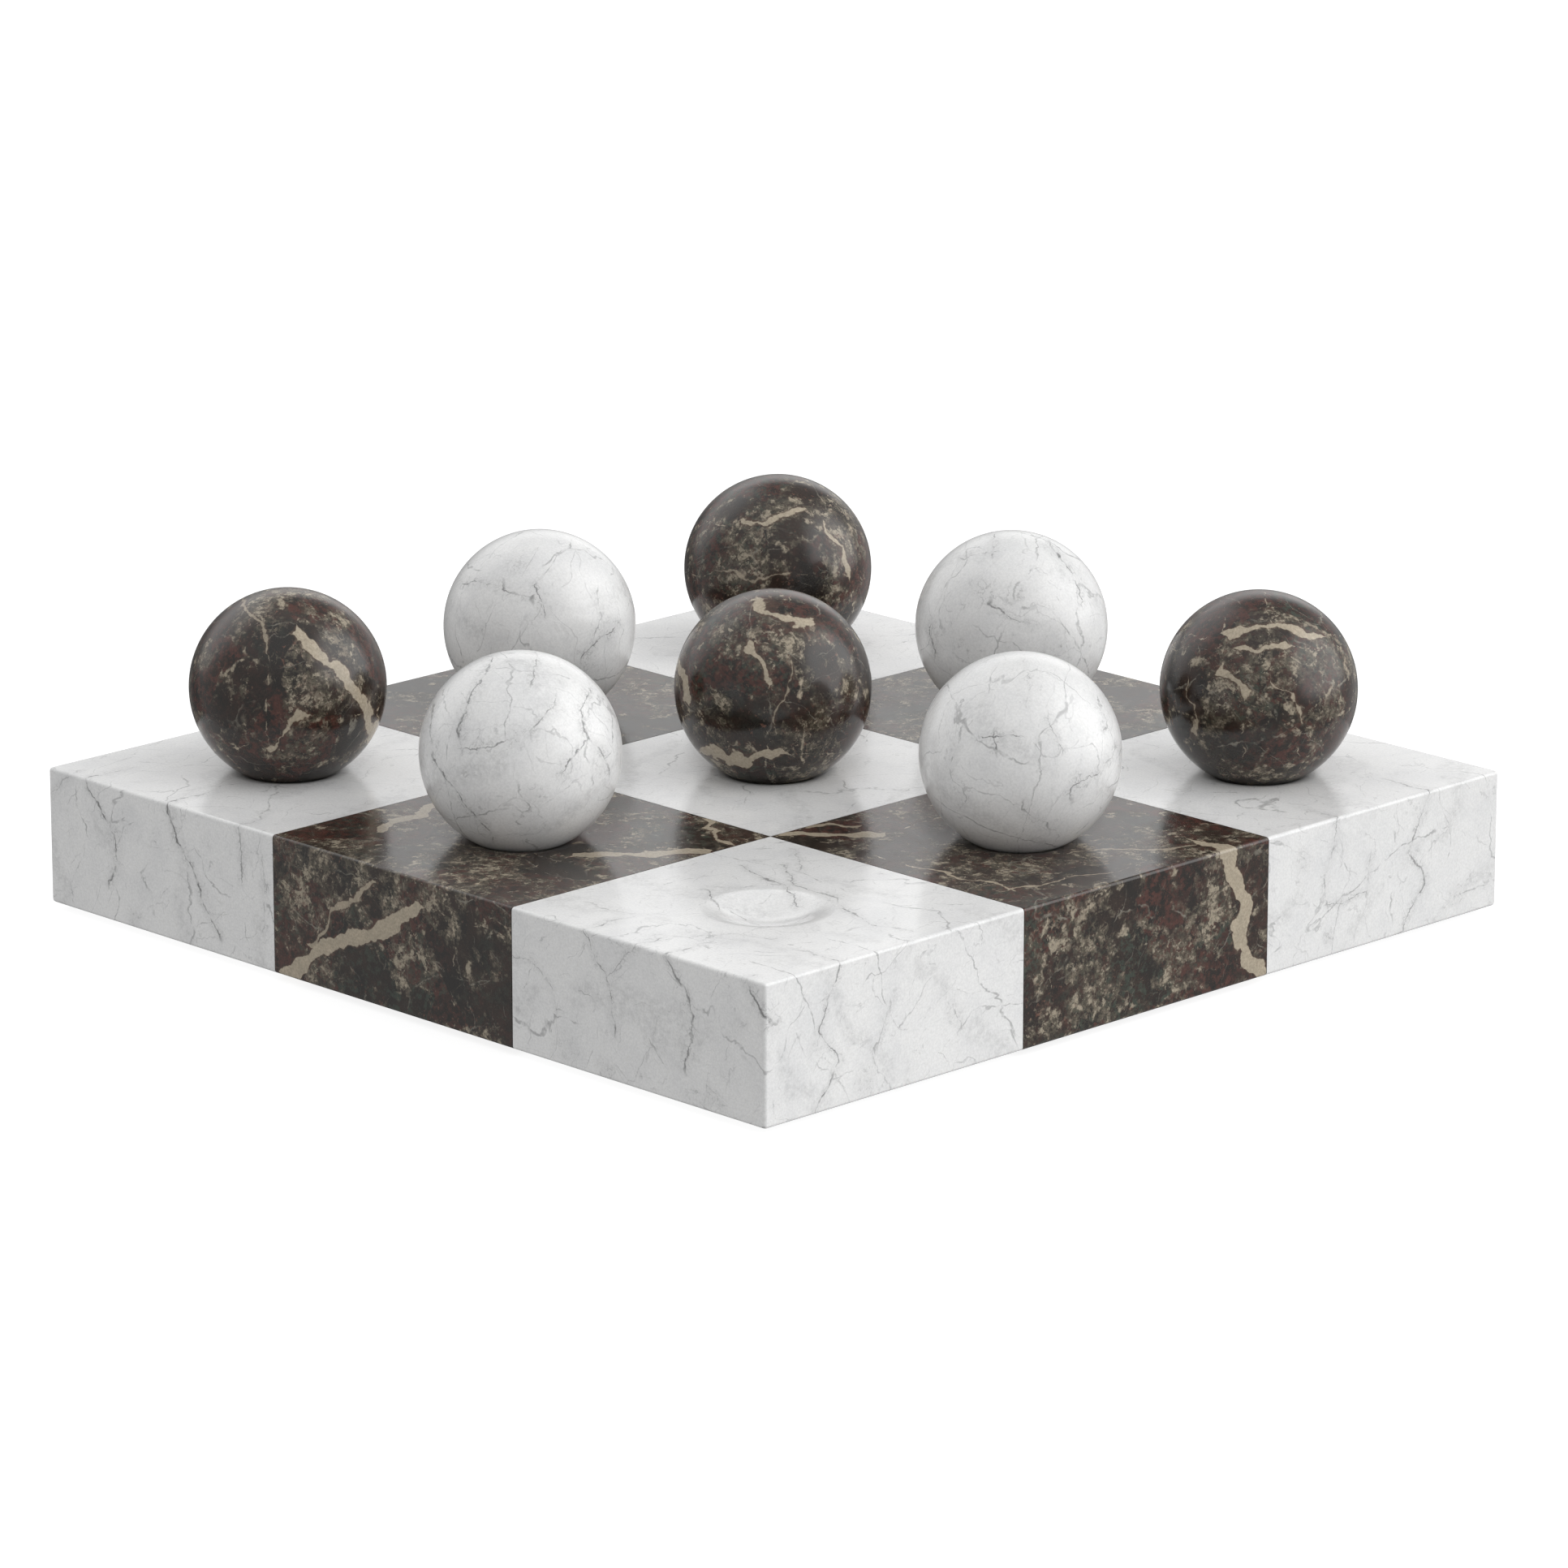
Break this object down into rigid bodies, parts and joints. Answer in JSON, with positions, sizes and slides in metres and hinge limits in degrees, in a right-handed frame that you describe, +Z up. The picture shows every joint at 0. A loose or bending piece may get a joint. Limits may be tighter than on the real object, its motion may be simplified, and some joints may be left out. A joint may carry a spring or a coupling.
{
  "type": "tic tac toe set",
  "caption": "Thick square marble board of bonded white and black blocks, each with a shallow round seat for a marble ball of the other colour, on rubber feet.",
  "frame": {"origin": "middle of the plane that the feet stand on, under the centre block", "axes": "+Z up out of the board's top, +X to the right and +Y to the back, both along the rows of squares; the free square is at +X, -Y"},
  "size_m": [0.2996, 0.2996, 0.0966],
  "materials": {
    "white_marble": "polished, white with thin grey veins",
    "black_marble": "polished, near black with brown clasts and cream veins",
    "foot_rubber": "matte"
  },
  "bodies": {
    "board": {"block_white_front_left": "white_marble", "block_black_front_centre": "black_marble", "block_white_front_right": "white_marble", "block_black_middle_left": "black_marble", "block_white_middle_centre": "white_marble", "block_black_middle_right": "black_marble", "block_white_back_left": "white_marble", "block_black_back_centre": "black_marble", "block_white_back_right": "white_marble", "foot_front_left": "foot_rubber", "foot_front_centre": "foot_rubber", "foot_front_right": "foot_rubber", "foot_middle_left": "foot_rubber", "foot_middle_centre": "foot_rubber", "foot_middle_right": "foot_rubber", "foot_back_left": "foot_rubber", "foot_back_centre": "foot_rubber", "foot_back_right": "foot_rubber"},
    "ball_black_front_left": {"ball_black_front_left": "black_marble"},
    "ball_white_front_centre": {"ball_white_front_centre": "white_marble"},
    "ball_white_middle_left": {"ball_white_middle_left": "white_marble"},
    "ball_black_middle_centre": {"ball_black_middle_centre": "black_marble"},
    "ball_white_middle_right": {"ball_white_middle_right": "white_marble"},
    "ball_black_back_left": {"ball_black_back_left": "black_marble"},
    "ball_white_back_centre": {"ball_white_back_centre": "white_marble"},
    "ball_black_back_right": {"ball_black_back_right": "black_marble"}
  },
  "joints": [
    {"name": "lift_ball_black_front_left", "type": "slide", "parent": "board", "child": "ball_black_front_left", "axis": [0, 0, 1], "range_m": [0, 0.06]},
    {"name": "lift_ball_white_front_centre", "type": "slide", "parent": "board", "child": "ball_white_front_centre", "axis": [0, 0, 1], "range_m": [0, 0.06]},
    {"name": "lift_ball_white_middle_left", "type": "slide", "parent": "board", "child": "ball_white_middle_left", "axis": [0, 0, 1], "range_m": [0, 0.06]},
    {"name": "lift_ball_black_middle_centre", "type": "slide", "parent": "board", "child": "ball_black_middle_centre", "axis": [0, 0, 1], "range_m": [0, 0.06]},
    {"name": "lift_ball_white_middle_right", "type": "slide", "parent": "board", "child": "ball_white_middle_right", "axis": [0, 0, 1], "range_m": [0, 0.06]},
    {"name": "lift_ball_black_back_left", "type": "slide", "parent": "board", "child": "ball_black_back_left", "axis": [0, 0, 1], "range_m": [0, 0.06]},
    {"name": "lift_ball_white_back_centre", "type": "slide", "parent": "board", "child": "ball_white_back_centre", "axis": [0, 0, 1], "range_m": [0, 0.06]},
    {"name": "lift_ball_black_back_right", "type": "slide", "parent": "board", "child": "ball_black_back_right", "axis": [0, 0, 1], "range_m": [0, 0.06]}
  ]
}
